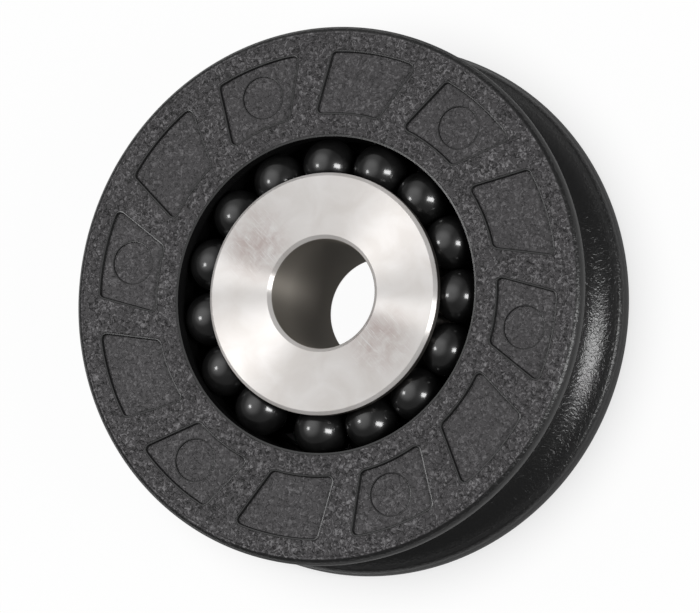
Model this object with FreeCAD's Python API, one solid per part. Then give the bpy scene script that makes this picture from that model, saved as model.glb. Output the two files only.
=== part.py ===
import FreeCAD, Part
import math
import os

from FreeCAD import Vector

# A ball-bearing pulley sheave for a plain pin, worked out from the pin outwards:
# hub, two rows of loose balls, ball tracks, web, rope groove and flanges.
# Millimetres. The origin is the centre of the bore, and +Z runs along the bore.

# Pin and hub
pin_d = 8.0
pin_clear = 0.05            # between the pin and the bore, on the radius
bore_chamfer = 0.3
hub_d = 18.0
hub_chamfer = 0.25
hub_proud = 0.6             # hub end above the sheave's face, on each side

# Balls and the grooves that they run in
ball_d = 4.0
ball_gap = 0.05             # between neighbours in a row, the rest is one open gap
ball_below_face = 0.1       # top of a ball below the sheave's face
race_clear = 0.03           # between a ball and its groove
hub_race_depth = 1.13
sheave_track_depth = 0.18   # shallow enough for the sheave to snap over the balls
front_first_angle = 273.6   # first ball of the front row, degrees from +X
rear_first_angle = 189.2    # first ball of the rear row, degrees from +X

# Rope groove and flanges
rope_d = 8.0
rope_clear = 0.1            # added to the rope's radius
web_wall = 4.57             # between the ball tracks and the bottom of the groove
groove_depth = 3.5
groove_flare = 15.0         # lean of the groove's walls near the rim, degrees
flange_rim_w = 1.52
rim_round = 0.45
groove_edge_round = 0.3
lip_round = 0.35

# Shallow pockets round each face, leaning like a swirl, with a round mark in every second one
pocket_count = 12
pocket_angle = 21.6         # width of a pocket, degrees
pocket_swirl = 5.7          # how far its inner end is turned past its outer end, degrees
pocket_depth = 0.2
pocket_edge = 0.11          # slope between a wall and the floor
pocket_corner = 0.4
pocket_rim_margin = 1.43
pocket_lip_margin = 1.37
mark_d = 3.2
mark_depth = 0.12
mark_lag_angle = 1.3        # mark's middle before the pocket's middle, degrees

# Radii, from the axis out
bore_r = pin_d / 2 + pin_clear
hub_r = hub_d / 2
ball_r = ball_d / 2
race_r = ball_r + race_clear
pitch_r = hub_r - hub_race_depth + race_r
track_r = pitch_r + race_r
sheave_bore_r = track_r - sheave_track_depth
tread_r = track_r + web_wall
sheave_r = tread_r + groove_depth

# The groove's section: an arc that fits the rope, then straight walls that lean out
groove_r = rope_d / 2 + rope_clear
groove_centre_r = tread_r + groove_r
flare = math.radians(groove_flare)
wall_start_r = groove_centre_r - groove_r * math.sin(flare)
wall_start_z = groove_r * math.cos(flare)


def groove_half_width(radius):
    if radius > wall_start_r:
        return wall_start_z + (radius - wall_start_r) * math.tan(flare)
    return math.sqrt(groove_r ** 2 - (groove_centre_r - radius) ** 2)


# Heights
sheave_top = groove_half_width(sheave_r) + flange_rim_w
hub_top = sheave_top + hub_proud
row_z = sheave_top - ball_below_face - ball_r

# As many balls as the row has room for
ball_step = math.degrees(2 * math.asin((ball_d + ball_gap) / (2 * pitch_r)))
balls_in_row = int(360 / ball_step)

pocket_outer_r = sheave_r - rim_round - pocket_rim_margin
pocket_inner_r = sheave_bore_r + lip_round + pocket_lip_margin
mark_centre_r = (pocket_outer_r + pocket_inner_r) / 2

axis = Vector(0, 0, 1)
origin = Vector(0, 0, 0)


def revolve(points):
    """Solid of revolution about the bore axis, from (radius, z) corners."""
    corners = [Vector(radius, 0, z) for radius, z in points]
    outline = Part.makePolygon(corners + corners[:1])
    return Part.Face(outline).revolve(origin, axis, 360)


def round_edges(solid, radius, z):
    """The solid's circular edges of one radius, at z above and below the middle."""
    tolerance = 1e-4
    found = []
    for edge in solid.Edges:
        if not isinstance(edge.Curve, Part.Circle):
            continue
        same_radius = abs(edge.Curve.Radius - radius) < tolerance
        if same_radius and abs(abs(edge.Curve.Center.z) - z) < tolerance:
            found.append(edge)
    return found


def ball_tracks():
    """The two rings swept by the balls with their running clearance."""
    return [Part.makeTorus(pitch_r, race_r, Vector(0, 0, z)) for z in (row_z, -row_z)]


def polar(radius, degrees, z=0.0):
    turn = math.radians(degrees)
    return Vector(radius * math.cos(turn), radius * math.sin(turn), z)


def make_hub():
    """One turned piece: plain bore, chamfered ends and a deep groove for each row."""
    hub = revolve([
        (bore_r, bore_chamfer - hub_top),
        (bore_r + bore_chamfer, -hub_top),
        (hub_r - hub_chamfer, -hub_top),
        (hub_r, hub_chamfer - hub_top),
        (hub_r, hub_top - hub_chamfer),
        (hub_r - hub_chamfer, hub_top),
        (bore_r + bore_chamfer, hub_top),
        (bore_r, hub_top - bore_chamfer),
    ])
    return hub.cut(ball_tracks())


def make_groove_cutter():
    """Ring with the rope groove's section, running out past the rim."""
    outer_r = sheave_r + groove_depth
    outer_z = groove_half_width(outer_r)
    low_wall = Vector(wall_start_r, 0, -wall_start_z)
    high_wall = Vector(wall_start_r, 0, wall_start_z)
    low_rim = Vector(outer_r, 0, -outer_z)
    high_rim = Vector(outer_r, 0, outer_z)
    section = Part.Wire([
        Part.Arc(low_wall, Vector(tread_r, 0, 0), high_wall).toShape(),
        Part.LineSegment(high_wall, high_rim).toShape(),
        Part.LineSegment(high_rim, low_rim).toShape(),
        Part.LineSegment(low_rim, low_wall).toShape(),
    ])
    return Part.Face(section).revolve(origin, axis, 360)


def make_pocket():
    """Cutter for one pocket of the upper face, centred on +X, with round corners and a sloped foot."""
    outer_from = -pocket_angle / 2 - pocket_swirl / 2
    inner_from = outer_from + pocket_swirl
    outer = [polar(pocket_outer_r, outer_from + pocket_angle * share) for share in (0, 0.5, 1)]
    inner = [polar(pocket_inner_r, inner_from + pocket_angle * share) for share in (1, 0.5, 0)]
    sector = Part.Wire([
        Part.Arc(*outer).toShape(),
        Part.LineSegment(outer[-1], inner[0]).toShape(),
        Part.Arc(*inner).toShape(),
        Part.LineSegment(inner[-1], outer[0]).toShape(),
    ])
    block = Part.Face(sector).extrude(Vector(0, 0, 2 * pocket_depth))
    uprights = [edge for edge in block.Edges if edge.BoundBox.ZLength > pocket_depth]
    block = block.makeFillet(pocket_corner, uprights)
    floor = min(block.Faces, key=lambda face: face.CenterOfMass.z)
    pocket = block.makeChamfer(pocket_edge, floor.Edges)
    pocket.translate(Vector(0, 0, sheave_top - pocket_depth))
    return pocket


def make_mark():
    """Cutter for the round mark near the middle of a pocket's floor."""
    top = polar(mark_centre_r, -mark_lag_angle, sheave_top - pocket_depth)
    return Part.makeCone(mark_d / 2, mark_d / 2 - pocket_edge, mark_depth, top, Vector(0, 0, -1))


def make_face_pattern():
    """Cutters for all pockets and marks of the upper face."""
    pocket = make_pocket()
    marked_pocket = pocket.fuse(make_mark())
    pattern = []
    for place in range(pocket_count):
        cutter = pocket if place % 2 else marked_pocket
        pattern.append(cutter.rotated(origin, axis, place * 360 / pocket_count))
    return pattern


def make_sheave():
    """One moulded piece: bore with two ball tracks, web, rope groove, flanges and pockets."""
    blank = revolve([
        (sheave_bore_r, -sheave_top),
        (sheave_r, -sheave_top),
        (sheave_r, sheave_top),
        (sheave_bore_r, sheave_top),
    ])
    sheave = blank.cut([make_groove_cutter()] + ball_tracks())
    for radius, z, rounding in (
        (sheave_r, sheave_top, rim_round),
        (sheave_r, groove_half_width(sheave_r), groove_edge_round),
        (sheave_bore_r, sheave_top, lip_round),
    ):
        sheave = sheave.makeFillet(rounding, round_edges(sheave, radius, z))
    front = make_face_pattern()
    rear = [shape.rotated(origin, Vector(1, 0, 0), 180) for shape in front]
    return sheave.cut(front + rear)


def make_ball_row(name, first_angle, z):
    """One row of loose balls, each a piece of its own."""
    row = {}
    for place in range(balls_in_row):
        centre = polar(pitch_r, first_angle + place * ball_step, z)
        row[f"{name}_ball_{place + 1:02d}"] = Part.makeSphere(ball_r, centre)
    return row


pieces = {"hub": make_hub(), "sheave": make_sheave()}
pieces.update(make_ball_row("front", front_first_angle, row_z))
pieces.update(make_ball_row("rear", rear_first_angle, -row_z))

os.makedirs("parts", exist_ok=True)
for node, shape in pieces.items():
    solid = shape.Solids[0]
    solid.exportStep(f"parts/{node}.step")
    print(node, solid.isValid(), len(shape.Solids), round(solid.Volume, 3))
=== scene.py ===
import math

import bmesh
import bpy
from mathutils import Matrix, Vector


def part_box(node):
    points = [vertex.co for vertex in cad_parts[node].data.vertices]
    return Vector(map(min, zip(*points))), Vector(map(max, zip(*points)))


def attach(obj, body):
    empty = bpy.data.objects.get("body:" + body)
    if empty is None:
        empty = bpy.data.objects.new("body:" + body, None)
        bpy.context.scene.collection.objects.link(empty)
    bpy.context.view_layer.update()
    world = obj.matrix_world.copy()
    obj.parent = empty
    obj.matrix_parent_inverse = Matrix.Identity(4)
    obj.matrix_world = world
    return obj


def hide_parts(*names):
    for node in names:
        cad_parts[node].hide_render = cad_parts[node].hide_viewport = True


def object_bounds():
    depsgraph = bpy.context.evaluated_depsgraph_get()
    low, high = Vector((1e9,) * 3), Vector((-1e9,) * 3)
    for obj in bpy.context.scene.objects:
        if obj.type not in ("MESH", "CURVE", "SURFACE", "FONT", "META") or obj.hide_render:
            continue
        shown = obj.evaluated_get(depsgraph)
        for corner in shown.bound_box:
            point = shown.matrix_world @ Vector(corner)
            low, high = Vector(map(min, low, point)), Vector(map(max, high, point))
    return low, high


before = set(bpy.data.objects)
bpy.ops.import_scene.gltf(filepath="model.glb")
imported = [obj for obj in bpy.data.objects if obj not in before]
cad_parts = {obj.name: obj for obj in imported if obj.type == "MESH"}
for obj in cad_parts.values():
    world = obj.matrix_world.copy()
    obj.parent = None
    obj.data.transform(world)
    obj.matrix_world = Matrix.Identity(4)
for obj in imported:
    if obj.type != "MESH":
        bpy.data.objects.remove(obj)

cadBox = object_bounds()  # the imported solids, before anything is dressed
mm = 0.001
near = 0.001  # millimetres within which two points count as one
bpy.context.scene.view_settings.view_transform = "Standard"
print("frame loaded:", len(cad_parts), "nodes")


# Drawing and shaping, in millimetres until a piece is shrunk into the frame

def at(radius, height):  # a point of a turned section
    return Vector((radius, 0, height))


def around(radius, degrees, height):  # a point on a ring round the bore
    turn = math.radians(degrees)
    return Vector((radius * math.cos(turn), radius * math.sin(turn), height))


def arc(centre, radius, start, end, steps):  # (radius, height) points along a round stretch
    points = []
    for step in range(steps + 1):
        turn = math.radians(start + (end - start) * step / steps)
        points.append((centre[0] + radius * math.cos(turn), centre[1] + radius * math.sin(turn)))
    return points


def pickVerts(piece, wanted):
    bpy.ops.mesh.select_mode(type="VERT")
    bpy.ops.mesh.select_all(action="DESELECT")
    cage = bmesh.from_edit_mesh(piece.data)
    for vert in cage.verts:
        if wanted(vert.co):
            vert.select_set(True)
    cage.select_flush_mode()
    bmesh.update_edit_mesh(piece.data)


def pickFaces(piece, wanted):
    bpy.ops.mesh.select_mode(type="FACE")
    bpy.ops.mesh.select_all(action="DESELECT")
    cage = bmesh.from_edit_mesh(piece.data)
    for face in cage.faces:
        if wanted(face):
            face.select_set(True)
    bmesh.update_edit_mesh(piece.data)


def drawOutline(name, points):  # a closed line, one point after another
    bpy.ops.object.select_all(action="DESELECT")
    bpy.ops.mesh.primitive_plane_add(size=1)
    piece = bpy.context.object
    piece.name = name
    piece.data.name = name
    bpy.ops.object.mode_set(mode="EDIT")
    bpy.ops.mesh.select_mode(type="VERT")
    bpy.ops.mesh.select_all(action="SELECT")
    bpy.ops.mesh.merge(type="CENTER")
    bpy.ops.transform.translate(value=points[0])
    for last, new in zip(points, points[1:]):
        bpy.ops.mesh.extrude_vertices_move(TRANSFORM_OT_translate={"value": new - last})
    ends = (points[0], points[-1])
    pickVerts(piece, lambda place: min((place - end).length for end in ends) < near)
    bpy.ops.mesh.edge_face_add()
    return piece


def roundCorner(piece, corner, size, steps):
    pickVerts(piece, lambda place: (place - corner).length < near)
    bpy.ops.mesh.bevel(offset=size, segments=steps, affect="VERTICES")


def spinRound(steps):  # the outline swept once round the bore
    bpy.ops.mesh.select_all(action="SELECT")
    bpy.ops.mesh.spin(steps=steps, angle=math.tau, center=(0, 0, 0), axis=(0, 0, 1))
    bpy.ops.mesh.select_all(action="SELECT")
    bpy.ops.mesh.remove_doubles(threshold=near / 2)
    bpy.ops.mesh.normals_make_consistent(inside=False)
    bpy.ops.object.mode_set(mode="OBJECT")


def makeActive(piece):
    bpy.ops.object.select_all(action="DESELECT")
    piece.select_set(True)
    bpy.context.view_layer.objects.active = piece


def copyPiece(piece, name):  # with a mesh of its own
    makeActive(piece)
    bpy.ops.object.duplicate(linked=False)
    copy = bpy.context.object
    copy.name = name
    copy.data.name = name
    return copy


def turned(piece, matrix):
    piece.data.transform(matrix)
    return piece


def applyModifier(piece, kind, **settings):
    makeActive(piece)
    bpy.ops.object.modifier_add(type=kind)
    modifier = piece.modifiers[-1]
    for key, value in settings.items():
        setattr(modifier, key, value)
    bpy.ops.object.modifier_apply(modifier=modifier.name)


def combine(piece, other, operation):
    applyModifier(piece, "BOOLEAN", operation=operation, solver="EXACT", object=other)
    bpy.data.objects.remove(other)


def shrink(piece):  # from millimetres to the frame's metres
    makeActive(piece)
    piece.scale = (mm, mm, mm)
    bpy.ops.object.transform_apply(location=False, rotation=False, scale=True)


def dress(piece, look, body, node):
    piece.data.materials.clear()
    piece.data.materials.append(look)
    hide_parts(node)
    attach(piece, body)


# Building looks from nodes

def newLook(name):
    look = bpy.data.materials.new(name)
    look.use_nodes = True
    return look, look.node_tree, look.node_tree.nodes["Principled BSDF"]


def addNode(tree, kind, sockets, **settings):
    node = tree.nodes.new("ShaderNode" + kind)
    for key, value in settings.items():
        setattr(node, key, value)
    for socket, value in sockets.items():
        plug(tree, node, socket, value)
    return node


def plug(tree, node, socket, value):
    if isinstance(value, bpy.types.Node):
        value = value.outputs[0]
    if isinstance(value, bpy.types.NodeSocket):
        tree.links.new(value, node.inputs[socket])
    else:
        node.inputs[socket].default_value = value


def math2(tree, operation, a, b=0.0):
    return addNode(tree, "Math", {0: a, 1: b}, operation=operation)


def times(tree, first, *others):
    for other in others:
        first = math2(tree, "MULTIPLY", first, other)
    return first


def rise(tree, value, low, high):  # 0 below low, 1 above high, in millimetres
    sockets = {"Value": value, "From Min": low * mm, "From Max": high * mm}
    return addNode(tree, "MapRange", sockets, interpolation_type="SMOOTHSTEP")


def fall(tree, value, low, high):  # 1 below low, 0 above high, in millimetres
    return math2(tree, "SUBTRACT", 1.0, rise(tree, value, low, high))


def past(base, steps):  # limits for rise and fall, counted from a base
    return [base + step for step in steps]


def noise(tree, spot, scale, detail, roughness=0.5, distortion=0.0):
    return addNode(tree, "TexNoise", {
        "Vector": spot, "Scale": scale, "Detail": detail, "Roughness": roughness, "Distortion": distortion})


def levels(tree, value, low, high):  # stretches a pattern's contrast
    sockets = {"Value": value, "From Min": low, "From Max": high}
    return addNode(tree, "MapRange", sockets)


def blendColour(tree, share, first, second):
    node = addNode(tree, "Mix", {0: share, 6: first, 7: second}, data_type="RGBA")
    return node.outputs[2]


def blendValue(tree, share, first, second):
    return addNode(tree, "Mix", {0: share, 2: first, 3: second})


def surfaceSpot(tree):
    return addNode(tree, "TexCoord", {}).outputs["Object"]


def axisDistance(tree, spot):
    level = addNode(tree, "VectorMath", {0: spot, 1: (1, 1, 0)}, operation="MULTIPLY")
    return addNode(tree, "VectorMath", {0: level}, operation="LENGTH").outputs["Value"]


def heightOffMiddle(tree, spot):  # the same on both sides of the middle plane
    return math2(tree, "ABSOLUTE", addNode(tree, "SeparateXYZ", {0: spot}).outputs["Z"])


def grey(level, red=1.0, blue=1.0):
    return (level * red, level, level * blue, 1)


# Sizes that the frame gives, in millimetres

ballLow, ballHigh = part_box("front_ball_01")
ballCentre = (ballLow + ballHigh) / 2 / mm
ballR = (ballHigh.z - ballLow.z) / 2 / mm
pitchR = math.hypot(ballCentre.x, ballCentre.y)
rowZ = ballCentre.z
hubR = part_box("hub")[1].x / mm
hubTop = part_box("hub")[1].z / mm
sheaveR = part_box("sheave")[1].y / mm
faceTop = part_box("sheave")[1].z / mm

# Hub: one turned piece, with a deep race for each row of balls

hubSizes = {  # smoothAngle in degrees
    "boreR": 4.05, "boreChamfer": 0.3, "rimChamfer": 0.25, "raceClear": 0.03, "raceSteps": 18,
    "edgeBreak": 0.03, "breakSteps": 2, "smoothAngle": 35, "steps": 240,
}


def makeHub():
    s = hubSizes
    raceR = ballR + s["raceClear"]
    lean = math.degrees(math.acos((hubR - pitchR) / raceR))  # where a race meets the hub's outside
    race = arc((pitchR, rowZ), raceR, lean, 360 - lean, s["raceSteps"])
    upper = race[::-1] + [
        (hubR, hubTop - s["rimChamfer"]),
        (hubR - s["rimChamfer"], hubTop),
        (s["boreR"] + s["boreChamfer"], hubTop),
        (s["boreR"], hubTop - s["boreChamfer"]),
    ]
    lower = [(radius, -height) for radius, height in reversed(upper)]
    hub = drawOutline("hubTurned", [at(*point) for point in upper + lower])
    corners = [upper[0], upper[len(race) - 1]] + upper[len(race):]
    for radius, height in corners:
        for side in (height, -height):
            roundCorner(hub, at(radius, side), s["edgeBreak"], s["breakSteps"])
    spinRound(s["steps"])
    bpy.ops.object.shade_smooth_by_angle(angle=math.radians(s["smoothAngle"]))
    applyModifier(hub, "WEIGHTED_NORMAL", keep_sharp=True)
    shrink(hub)
    return hub


scuffTones = {
    "places": [(-5.8, 3.0, 3.6), (5.1, -2.8, 3.4)],  # x, y and reach
    "core": 0.2,  # share of the reach that is worn most
    "blots": {"scale": 800.0, "detail": 8.0, "roughness": 0.68, "distortion": 0.8},
    "blotLevels": (0.36, 0.64), "stain": grey(0.42, 1.20, 0.95), "stainShare": 0.85,
    "turn": -38, "stretch": (0.0015, 0.00009, 0.0015),  # of the scratches, in degrees and metres
    "scratches": {"scale": 1.0, "detail": 2.0, "distortion": 0.7}, "scratchLevels": (0.56, 0.72),
    "scratch": grey(0.9), "scratchShare": 0.6, "scratchRoughness": 0.45,
}


def makeScuffs(tree, spot):  # blotted stains and fine scratches, in the worn places only
    s = scuffTones
    worn = 0.0
    for x, y, reach in s["places"]:
        centre = (x * mm, y * mm, hubTop * mm)
        away = addNode(tree, "VectorMath", {0: spot, 1: centre}, operation="DISTANCE").outputs["Value"]
        worn = math2(tree, "MAXIMUM", worn, fall(tree, away, s["core"] * reach, reach))
    blots = levels(tree, noise(tree, spot, **s["blots"]), *s["blotLevels"])
    sockets = {"Vector": spot, "Rotation": (0, 0, math.radians(s["turn"])), "Scale": s["stretch"]}
    drawnOut = addNode(tree, "Mapping", sockets, vector_type="TEXTURE")
    scratches = levels(tree, noise(tree, drawnOut, **s["scratches"]), *s["scratchLevels"])
    return times(tree, worn, blots), times(tree, worn, scratches)


steelTones = {
    "bright": grey(0.74, 1.03, 0.98), "dull": grey(0.63, 1.05, 0.96), "metallic": 0.5, "roughness": 0.35,
    "smears": {"scale": 420.0, "detail": 4.0, "distortion": 0.6}, "smearLevels": (0.35, 0.75),
    "anisotropic": 1.0, "anisotropicTurn": 0.25, "rings": {"scale": 9000.0, "detail": 3.0},
    "relief": 0.002, "reliefStrength": 0.25,
    # bore: a darker, browner tone inside the bore, painted shade of the hole
    "bore": grey(0.17, 1.10, 0.86), "boreRoughness": 0.75,
    "boreLimits": (0.02, 0.06),  # outwards from the bore
    # side: a near-black tone laid on the hub's outside and races below its end face, painted shade where the
    # balls crowd round it
    "side": grey(0.05, 1.1, 0.9), "shadeRadii": (6.0, 6.2),
    "shadeDrops": (-0.34, -0.26),  # from the hub's end
}


def makeSteelLook():
    s = steelTones
    look, tree, shader = newLook("turnedSteel")
    spot = surfaceSpot(tree)
    radius = axisDistance(tree, spot)
    height = heightOffMiddle(tree, spot)
    inBore = fall(tree, radius, *past(hubSizes["boreR"], s["boreLimits"]))
    # the hub's outside and races are painted with the shade that falls between the hub and the balls
    below = fall(tree, height, *past(hubTop, s["shadeDrops"]))
    paintedShadeOnSide = times(tree, rise(tree, radius, *s["shadeRadii"]), below)
    stains, scratches = makeScuffs(tree, spot)
    stained = times(tree, stains, scuffTones["stainShare"])
    scratched = times(tree, scratches, scuffTones["scratchShare"])
    smears = levels(tree, noise(tree, spot, **s["smears"]), *s["smearLevels"])
    tone = blendColour(tree, smears, s["dull"], s["bright"])
    tone = blendColour(tree, stained, tone, scuffTones["stain"])
    tone = blendColour(tree, scratched, tone, scuffTones["scratch"])
    # painted shade inside the bore
    tone = blendColour(tree, inBore, tone, s["bore"])
    plug(tree, shader, "Base Color", blendColour(tree, paintedShadeOnSide, tone, s["side"]))
    rough = blendValue(tree, scratches, s["roughness"], scuffTones["scratchRoughness"])
    plug(tree, shader, "Roughness", blendValue(tree, inBore, rough, s["boreRoughness"]))
    ringSpot = addNode(tree, "CombineXYZ", {"X": radius, "Y": height})
    relief = math2(tree, "ADD", noise(tree, ringSpot, **s["rings"]), scratches)
    plug(tree, shader, "Normal", addNode(tree, "Bump", {
        "Strength": s["reliefStrength"], "Distance": s["relief"] * mm, "Height": relief}))
    plug(tree, shader, "Tangent", addNode(tree, "Tangent", {}, direction_type="RADIAL", axis="Z"))
    shader.inputs["Metallic"].default_value = s["metallic"]
    shader.inputs["Anisotropic"].default_value = s["anisotropic"]
    shader.inputs["Anisotropic Rotation"].default_value = s["anisotropicTurn"]
    return look


dress(makeHub(), makeSteelLook(), "hub", "hub")
print("hub turned")

# Sheave: one moulding, with two shallow ball tracks, a rope groove and pockets in both faces

sheaveSizes = {  # flare and smoothAngle in degrees
    "trackClear": 0.03, "trackDepth": 0.18, "trackSteps": 10, "lipWidth": 0.17, "lipFall": 0.027,
    "rimRound": 0.6, "rimSteps": 16, "grooveEdgeRound": 0.8, "grooveEdgeSteps": 14,
    "web": 4.57, "grooveR": 4.1, "flare": 15.0, "grooveSteps": 30, "smoothAngle": 7, "steps": 240,
}
boreR = pitchR + ballR + sheaveSizes["trackClear"] - sheaveSizes["trackDepth"]


def makeBody():
    s = sheaveSizes
    trackR = ballR + s["trackClear"]
    lean = math.degrees(math.acos((boreR - pitchR) / trackR))  # where a track meets the bore
    track = arc((pitchR, rowZ), trackR, -lean, lean, s["trackSteps"])
    grooveCentre = (pitchR + trackR + s["web"] + s["grooveR"], 0)
    groove = arc(grooveCentre, s["grooveR"], 90 + s["flare"], 270 - s["flare"], s["grooveSteps"])
    wallR, wallZ = groove[0]
    rimZ = wallZ + (sheaveR - wallR) * math.tan(math.radians(s["flare"]))
    lipR = boreR + s["lipWidth"]
    upper = track + [(boreR, faceTop - s["lipFall"]), (lipR, faceTop), (sheaveR, faceTop), (sheaveR, rimZ)]
    lower = [(radius, -height) for radius, height in reversed(upper)]
    body = drawOutline("sheaveMoulded", [at(*point) for point in upper + groove + lower])
    for height in (faceTop, -faceTop):
        roundCorner(body, at(sheaveR, height), s["rimRound"], s["rimSteps"])
    for height in (rimZ, -rimZ):
        roundCorner(body, at(sheaveR, height), s["grooveEdgeRound"], s["grooveEdgeSteps"])
    spinRound(s["steps"])
    return body


def raiseBlock(piece, sizes):  # a flat outline made a low block, stepping inwards as it rises
    bpy.ops.mesh.select_all(action="SELECT")
    bpy.ops.mesh.edge_face_add()
    bpy.ops.mesh.extrude_region_move(TRANSFORM_OT_translate={"value": (0, 0, sizes["root"])})
    bpy.ops.mesh.select_all(action="SELECT")
    bpy.ops.mesh.normals_make_consistent(inside=False)
    crown = max(vert.co.z for vert in bmesh.from_edit_mesh(piece.data).verts)
    pickFaces(piece, lambda face: min(vert.co.z for vert in face.verts) > crown - near)
    for inwards, rising in sizes["steps"]:
        bpy.ops.mesh.inset(thickness=inwards, depth=rising)
    bpy.ops.object.mode_set(mode="OBJECT")


pocketSizes = {  # width and swirl in degrees
    "count": 12, "width": 22.3, "swirl": 5.7, "innerR": 13.35, "outerR": 18.24, "depth": 0.28, "root": 0.1,
    "sharpCorner": 0.78, "bluntCorner": 0.42, "cornerSteps": 16, "cornerShare": 0.2, "arcSteps": 8,
    "steps": [(0.14, 0.021), (0.078, 0.235), (0.02, 0.024)],  # inwards and down, from the face to the floor
}


def makePocket():  # drawn as a block on the face, to be turned over into it
    s = pocketSizes
    foot = faceTop - s["root"]
    outerFrom = -(s["width"] + s["swirl"]) / 2
    innerFrom = outerFrom + s["swirl"]
    middle = 1 - 2 * s["cornerShare"]  # the corners are left clear of points
    shares = [s["cornerShare"] + middle * step / s["arcSteps"] for step in range(s["arcSteps"] + 1)]
    shares = [0, *shares, 1]
    outer = [around(s["outerR"], outerFrom + s["width"] * share, foot) for share in shares]
    inner = [around(s["innerR"], innerFrom + s["width"] * share, foot) for share in reversed(shares)]
    pocket = drawOutline("pocket", outer + inner)
    for corner in (outer[0], inner[0]):
        roundCorner(pocket, corner, s["sharpCorner"], s["cornerSteps"])
    for corner in (outer[-1], inner[-1]):
        roundCorner(pocket, corner, s["bluntCorner"], s["cornerSteps"])
    raiseBlock(pocket, s)
    return pocket


markSizes = {  # lag in degrees
    "radius": 1.66, "lag": 1.3, "depth": 0.14, "root": 0.1, "segments": 64,
    "steps": [(0.08, 0.012), (0.036, 0.109), (0.02, 0.019)],
}


def makeMark():
    s = markSizes
    middle = (pocketSizes["innerR"] + pocketSizes["outerR"]) / 2
    foot = faceTop + pocketSizes["depth"] - s["root"]
    bpy.ops.object.select_all(action="DESELECT")
    bpy.ops.mesh.primitive_circle_add(
        vertices=s["segments"], radius=s["radius"], location=around(middle, -s["lag"], foot))
    mark = bpy.context.object
    mark.name = "mark"
    bpy.ops.object.transform_apply(location=True)
    bpy.ops.object.mode_set(mode="EDIT")
    raiseBlock(mark, s)
    return mark


def makeFacePattern():  # what is cut from both faces: every pocket, every second one with its mark
    plain = makePocket()
    marked = copyPiece(plain, "markedPocket")
    combine(marked, makeMark(), "UNION")
    sunk = Matrix.Translation((0, 0, 2 * faceTop)) @ Matrix.Diagonal((1, 1, -1, 1))
    for pattern in (plain, marked):
        turned(pattern, sunk)
        pattern.data.flip_normals()
    copies = []
    for flip in (0, math.pi):
        over = Matrix.Rotation(flip, 4, "X")
        for place in range(pocketSizes["count"]):
            turn = over @ Matrix.Rotation(math.tau * place / pocketSizes["count"], 4, "Z")
            pattern = plain if place % 2 else marked
            copies.append(turned(copyPiece(pattern, "pocketCopy"), turn))
    bpy.data.objects.remove(plain)
    bpy.data.objects.remove(marked)
    makeActive(copies[0])
    for copy in copies:
        copy.select_set(True)
    bpy.ops.object.join()
    return bpy.context.object


def makeSheave():
    body = makeBody()
    combine(body, makeFacePattern(), "DIFFERENCE")
    makeActive(body)
    bpy.ops.object.mode_set(mode="EDIT")
    bpy.ops.mesh.select_all(action="SELECT")
    bpy.ops.mesh.remove_doubles(threshold=2 * near)  # slivers that the cuts leave
    bpy.ops.mesh.dissolve_degenerate(threshold=near)
    bpy.ops.object.mode_set(mode="OBJECT")
    bpy.ops.object.shade_smooth_by_angle(angle=math.radians(sheaveSizes["smoothAngle"]))
    applyModifier(body, "WEIGHTED_NORMAL", keep_sharp=True)
    shrink(body)
    return body


plasticZones = {  # each pair is where a zone begins to fade in or out, and where it has done so
    "ringInner": (13.0, 13.2), "ringOuter": (18.4, 18.6), "rim": (19.25, 19.4),
    "textureEnd": (19.35, 19.49), "paleEnd": (19.55, 19.65),
    "grooveRadii": (14.0, 15.0), "grooveHeights": (3.9, 4.2),
    "wallTop": (0.002, 0.007),  # below the face
    "floor": (-0.04, -0.01), "wallFoot": (-0.03, -0.01),
    "markTop": (0.002, 0.006),  # these three from a pocket's floor down
    "markFoot": (-0.02, -0.008), "skinEnd": (0.03, 0.06),  # from a mark's floor down
    "lip": (0.15, 0.18), "land": (-0.13, -0.09),  # outwards from the bore and from the rim
}


def makePlasticZones(tree, spot):
    z = plasticZones
    radius = axisDistance(tree, spot)
    height = heightOffMiddle(tree, spot)
    depth = math2(tree, "SUBTRACT", faceTop * mm, height)
    floorDepth = pocketSizes["depth"]
    markDepth = floorDepth + markSizes["depth"]
    ring = times(tree, rise(tree, radius, *z["ringInner"]), fall(tree, radius, *z["ringOuter"]))
    wallsFrom = rise(tree, depth, *z["wallTop"])
    walls = times(tree, wallsFrom, fall(tree, depth, *past(floorDepth, z["wallFoot"])))
    marksFrom = rise(tree, depth, *past(floorDepth, z["markTop"]))
    marks = times(tree, marksFrom, fall(tree, depth, *past(markDepth, z["markFoot"])))
    edges = times(tree, ring, math2(tree, "MAXIMUM", walls, marks))
    offLip = rise(tree, radius, *past(boreR, z["lip"]))
    skin = times(tree, fall(tree, depth, *past(markDepth, z["skinEnd"])), offLip)
    dull = times(tree, skin, math2(tree, "SUBTRACT", 1.0, edges))
    inGroove = fall(tree, height, *z["grooveHeights"])
    return {
        "floors": times(tree, ring, rise(tree, depth, *past(floorDepth, z["floor"]))),
        "textured": times(tree, dull, fall(tree, radius, *z["textureEnd"])),
        "pale": times(tree, dull, fall(tree, radius, *z["paleEnd"])),
        "groove": times(tree, inGroove, rise(tree, radius, *z["grooveRadii"])),
        "rim": rise(tree, radius, *z["rim"]),
        "land": rise(tree, radius, *past(sheaveR, z["land"])),
    }


grainTones = {
    "grain": {"scale": 4000.0, "detail": 1.0, "distortion": 0.8},
    "pitLevels": (0.46, 0.30), "fleckLevels": (0.40, 0.65),
    "fibres": {"scale": 2700.0, "detail": 1.0, "distortion": 0.8}, "fibreMiddle": 0.5, "fibreWidth": 0.11,
    "patches": {"scale": 330.0, "detail": 2.0}, "patchLevels": (0.30, 0.70), "patchShares": (0.65, 1.2),
    "fibreRelief": 0.5, "relief": 0.085,
}


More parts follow.
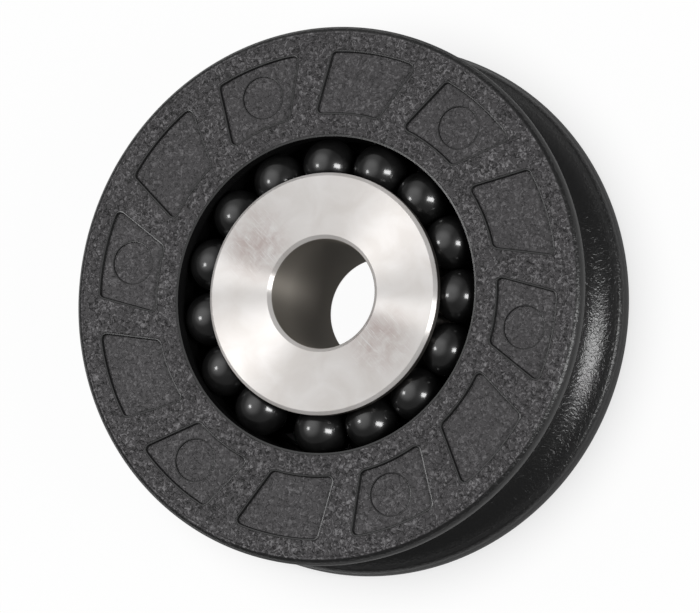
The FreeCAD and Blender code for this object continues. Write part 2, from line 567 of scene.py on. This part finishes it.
def makeGrain(tree, spot):  # pale flecks, dark pits and the relief that goes with them
    s = grainTones
    grain = noise(tree, spot, **s["grain"])
    fibres = math2(tree, "SUBTRACT", noise(tree, spot, **s["fibres"]), s["fibreMiddle"])
    worms = levels(tree, math2(tree, "ABSOLUTE", fibres), s["fibreWidth"], 0.0)
    patches = levels(tree, noise(tree, spot, **s["patches"]), *s["patchLevels"])
    uneven = blendValue(tree, patches, *s["patchShares"])
    flecks = times(tree, worms, levels(tree, grain, *s["fleckLevels"]), uneven)
    pits = levels(tree, grain, *s["pitLevels"])
    relief = math2(tree, "ADD", grain, times(tree, worms, s["fibreRelief"]))
    return flecks, pits, relief


plasticTones = {
    "face": grey(0.035, 1.07, 1.06), "fleck": grey(0.20, 1.03, 1.03), "pit": grey(0.008, 1.07, 1.06),
    # smooth: the near-black tone outside the flecked face, on pocket and mark walls, lip, rim, groove and
    # bore; partly the smooth skin's own colour, partly painted shade in these hollows and edges
    "smoothAndShaded": grey(0.008, 1.0, 1.02), "faceRoughness": 0.52, "floorRoughness": 0.50, "edgeRoughness": 0.26,
    "grooveRoughness": 0.25, "rimRoughness": 0.33, "landRoughness": 0.65,
    "floorGrain": 0.62, "edgeGrain": 0.04, "grooveGrain": 0.15, "rimGrain": 0.22,  # against the face's 1.0
}


def makePlasticLook():
    s = plasticTones
    look, tree, shader = newLook("mouldedPlastic")
    spot = surfaceSpot(tree)
    zones = makePlasticZones(tree, spot)
    flecks, pits, relief = makeGrain(tree, spot)
    strength = blendValue(tree, zones["floors"], 1.0, s["floorGrain"])
    tone = blendColour(tree, times(tree, flecks, strength), s["face"], s["fleck"])
    tone = blendColour(tree, times(tree, pits, strength), tone, s["pit"])
    # where the flecked face ends, the tone drops to the smooth one: painted shade in the walls, groove and
    # rim, over the smooth skin's own darker colour
    plug(tree, shader, "Base Color", blendColour(tree, zones["pale"], s["smoothAndShaded"], tone))
    rough = blendValue(tree, zones["floors"], s["faceRoughness"], s["floorRoughness"])
    smoothAndShaded = blendValue(tree, zones["groove"], s["edgeRoughness"], s["grooveRoughness"])
    smoothAndShaded = blendValue(tree, zones["rim"], smoothAndShaded, s["rimRoughness"])
    smoothAndShaded = blendValue(tree, zones["land"], smoothAndShaded, s["landRoughness"])
    plug(tree, shader, "Roughness", blendValue(tree, zones["textured"], smoothAndShaded, rough))
    weight = blendValue(tree, zones["groove"], s["edgeGrain"], s["grooveGrain"])
    weight = blendValue(tree, zones["rim"], weight, s["rimGrain"])
    weight = blendValue(tree, zones["textured"], weight, strength)
    plug(tree, shader, "Normal", addNode(tree, "Bump", {
        "Strength": 1.0, "Distance": grainTones["relief"] * mm, "Height": times(tree, relief, weight)}))
    return look


dress(makeSheave(), makePlasticLook(), "sheave", "sheave")
print("sheave moulded")

# Balls: thirty of one pattern, loose in two rows

ballSizes = {"cuts": 11, "rows": ("front", "rear"), "inRow": 15, "turnAxis": (1, 2, 3)}


def makeBallPattern():
    bpy.ops.object.select_all(action="DESELECT")
    bpy.ops.mesh.primitive_cube_add(size=2 * ballR)
    ball = bpy.context.object
    ball.name = "ballPattern"
    bpy.ops.object.mode_set(mode="EDIT")
    bpy.ops.mesh.select_all(action="SELECT")
    bpy.ops.mesh.subdivide(number_cuts=ballSizes["cuts"])
    bpy.ops.transform.tosphere(value=1.0)
    bpy.ops.object.mode_set(mode="OBJECT")
    reach = max(vert.co.length for vert in ball.data.vertices)
    ball.data.transform(Matrix.Scale(ballR / reach, 4))
    bpy.ops.object.shade_smooth()
    shrink(ball)
    return ball


ballTones = {
    "body": grey(0.004), "worn": grey(0.008), "roughness": 0.38, "wornRoughness": 0.45, "ior": 1.32,
    "clouds": {"scale": 900.0, "detail": 5.0}, "cloudLevels": (0.35, 0.7),
    "skin": {"scale": 5000.0, "detail": 2.0}, "relief": 0.006, "reliefStrength": 0.05,
    "coat": 1.0, "coatRoughness": 0.15, "coatIor": 1.6,
}


def makeBallLook():
    s = ballTones
    look, tree, shader = newLook("ballPlastic")
    spot = surfaceSpot(tree)
    clouds = levels(tree, noise(tree, spot, **s["clouds"]), *s["cloudLevels"])
    plug(tree, shader, "Base Color", blendColour(tree, clouds, s["body"], s["worn"]))
    plug(tree, shader, "Roughness", blendValue(tree, clouds, s["roughness"], s["wornRoughness"]))
    relief = noise(tree, spot, **s["skin"])
    plug(tree, shader, "Normal", addNode(tree, "Bump", {
        "Strength": s["reliefStrength"], "Distance": s["relief"] * mm, "Height": relief}))
    shader.inputs["IOR"].default_value = s["ior"]
    shader.inputs["Coat Weight"].default_value = s["coat"]
    shader.inputs["Coat Roughness"].default_value = s["coatRoughness"]
    shader.inputs["Coat IOR"].default_value = s["coatIor"]
    return look


ballPattern = makeBallPattern()
ballLook = makeBallLook()
for row in ballSizes["rows"]:
    for place in range(1, ballSizes["inRow"] + 1):
        node = f"{row}_ball_{place:02d}"
        low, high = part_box(node)
        ball = copyPiece(ballPattern, f"{row}Ball{place:02d}")
        turn = Matrix.Rotation(place, 4, ballSizes["turnAxis"])  # each ball lies its own way round
        turned(ball, Matrix.Translation((low + high) / 2) @ turn)
        dress(ball, ballLook, f"{row}_balls", node)
bpy.data.objects.remove(ballPattern)
print("balls laid in their rows")

# Stage: camera, lamps, floor and room

cameraView = {  # distance in metres, angles in degrees, right, up and sensor in millimetres
    "distance": 0.5, "tilt": 22.46, "bearing": -8.9, "roll": -72.42, "right": 0.179, "up": 0.259,
    "focalPixels": 6718.85, "imageWidth": 700, "sensor": 36.0,
}


def makeCamera():
    v = cameraView
    turn = Matrix.Rotation(math.radians(v["bearing"] + 90), 3, "Z")
    tilt = Matrix.Rotation(math.radians(v["tilt"]), 3, "X")
    roll = Matrix.Rotation(math.radians(v["roll"]), 3, "Z")
    aim = turn @ tilt @ roll
    bpy.ops.object.select_all(action="DESELECT")
    bpy.ops.object.camera_add(
        location=aim @ Vector((-v["right"] * mm, -v["up"] * mm, v["distance"])), rotation=aim.to_euler())
    camera = bpy.context.object
    camera.data.sensor_width = v["sensor"]
    camera.data.lens = v["focalPixels"] * v["sensor"] / v["imageWidth"]
    bpy.context.scene.camera = camera
    return aim


lamps = {  # degrees across and up from the camera, seen from the object; sizes in metres
    "left": {"across": -54.9, "up": 3.4, "distance": 0.12, "width": 0.021, "height": 0.021, "watts": 0.0166},
    "right": {"across": 31, "up": -3, "distance": 0.6, "width": 0.17, "height": 0.30, "watts": 2.2},
}


def heading(aim, place):  # a direction from the object, given as degrees across and up from the camera
    across = math.radians(place["across"])
    up = math.radians(place["up"])
    return aim @ Vector((math.sin(across) * math.cos(up), math.sin(up), math.cos(across) * math.cos(up)))


def addLamp(name, aim):
    s = lamps[name]
    towards = heading(aim, s)
    bpy.ops.object.light_add(
        type="AREA", location=towards * s["distance"], rotation=towards.to_track_quat("Z", "Y").to_euler())
    lamp = bpy.context.object
    lamp.name = name + "Softbox"
    lamp.data.shape = "RECTANGLE"
    lamp.data.size = s["width"]
    lamp.data.size_y = s["height"]
    lamp.data.energy = s["watts"]


floorTones = {
    "size": 6.0, "paper": grey(0.86), "roughness": 0.9, "glow": 0.965,  # size in metres
    # clear: radii over which the floor's glow comes in; inside them the floor shows only its lamp-lit grey,
    # a ring of painted shadow round the sheave beside its real shadow
    "bore": (4.1, 4.3), "clear": (12.5, 24.0),  # radii in millimetres
}


def makeFloor():
    s = floorTones
    bpy.ops.object.select_all(action="DESELECT")
    bpy.ops.mesh.primitive_plane_add(size=s["size"], location=(0, 0, cadBox[0].z))
    floor = bpy.context.object
    floor.name = "floor"
    bpy.ops.object.transform_apply(location=True)
    look, tree, shader = newLook("paperFloor")
    shader.inputs["Base Color"].default_value = s["paper"]
    shader.inputs["Roughness"].default_value = s["roughness"]
    rays = addNode(tree, "LightPath", {})
    seen = rays.outputs["Is Camera Ray"]
    for kind in ("Is Glossy Ray", "Is Transmission Ray"):  # polished pieces mirror the same white
        seen = math2(tree, "MAXIMUM", seen, rays.outputs[kind])
    glow = addNode(tree, "Emission", {"Color": grey(1.0), "Strength": 1.0})
    radius = axisDistance(tree, surfaceSpot(tree))
    inBore = fall(tree, radius, *s["bore"])
    # the glow stays in the bore and fades out under and just round the sheave, partly painted shadow on the
    # floor
    shown = math2(tree, "MAXIMUM", inBore, rise(tree, radius, *s["clear"]))  # not under the sheave
    mixed = addNode(tree, "MixShader", {0: times(tree, seen, shown, s["glow"]), 1: shader, 2: glow})
    plug(tree, tree.nodes["Material Output"], "Surface", mixed)
    floor.data.materials.append(look)


skyTones = {"dim": 0.15, "sides": [
    {"across": -43, "up": 13, "edge": 0.72, "bright": 0.97},
    {"across": -42, "up": 46, "edge": 0.75, "bright": 0.40},
]}


def makeRoom(aim):  # dim all round, with soft bright sides
    room = bpy.data.worlds.new("studio")
    room.use_nodes = True
    tree = room.node_tree
    outlook = addNode(tree, "TexCoord", {}).outputs["Generated"]
    strength = skyTones["dim"]
    for side in skyTones["sides"]:
        facing = addNode(tree, "VectorMath", {0: outlook, 1: heading(aim, side)}, operation="DOT_PRODUCT")
        sockets = {"Value": facing.outputs["Value"], "From Min": side["edge"], "To Max": side["bright"]}
        soft = addNode(tree, "MapRange", sockets, interpolation_type="SMOOTHSTEP")
        strength = math2(tree, "ADD", soft, strength)
    plug(tree, tree.nodes["Background"], "Color", grey(1.0))
    plug(tree, tree.nodes["Background"], "Strength", strength)
    bpy.context.scene.world = room


viewAim = makeCamera()
for lampName in lamps:
    addLamp(lampName, viewAim)
makeFloor()
makeRoom(viewAim)
print("stage set")
